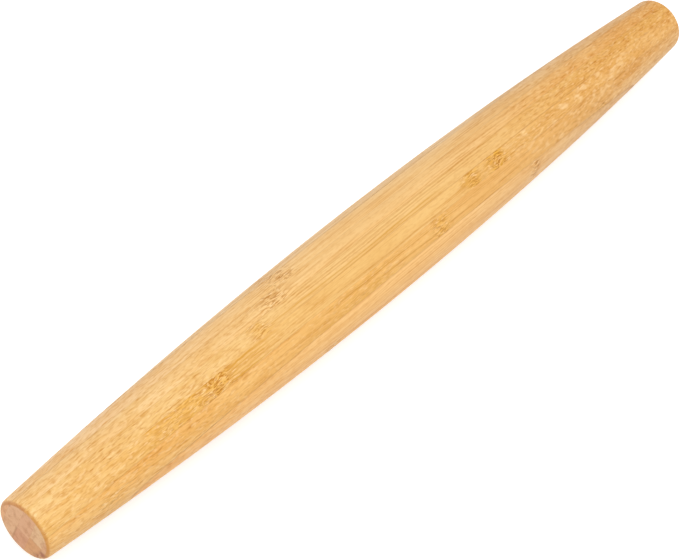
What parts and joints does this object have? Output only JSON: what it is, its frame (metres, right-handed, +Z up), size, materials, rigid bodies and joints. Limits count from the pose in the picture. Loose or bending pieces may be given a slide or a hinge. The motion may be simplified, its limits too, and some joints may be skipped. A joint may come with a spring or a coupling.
{
  "type": "french rolling pin",
  "caption": "Handle-less rolling pin, crowned from a thick middle to slim rounded ends, turned from a blank of glued bamboo strips.",
  "frame": {"origin": "middle of the pin, on its turning axis", "axes": "+X along the pin towards the end that is farther away in the picture; +Y from the front ply to the back ply, square to the ply seams; +Z up, with the pin lying on its thickest part"},
  "size_m": [0.457, 0.046, 0.046],
  "materials": {
    "bamboo_straw": "sanded and oiled, satin",
    "bamboo_pale": "sanded and oiled, satin",
    "bamboo_honey": "sanded and oiled, satin",
    "bamboo_cream": "sanded and oiled, satin",
    "bamboo_tan": "sanded and oiled, satin"
  },
  "bodies": {
    "root": {"ply1_lower_strip": "bamboo_straw", "ply1_upper_strip": "bamboo_pale", "ply2_lower_strip": "bamboo_honey", "ply2_middle_strip": "bamboo_cream", "ply2_upper_strip": "bamboo_tan", "ply3_lower_strip": "bamboo_tan", "ply3_upper_strip": "bamboo_straw", "ply4_lower_strip": "bamboo_pale", "ply4_upper_strip": "bamboo_honey", "ply5_lower_strip": "bamboo_cream", "ply5_middle_strip": "bamboo_tan", "ply5_upper_strip": "bamboo_straw", "ply6_lower_strip": "bamboo_straw", "ply6_upper_strip": "bamboo_pale", "ply7_lower_strip": "bamboo_honey", "ply7_upper_strip": "bamboo_cream"}
  },
  "joints": []
}
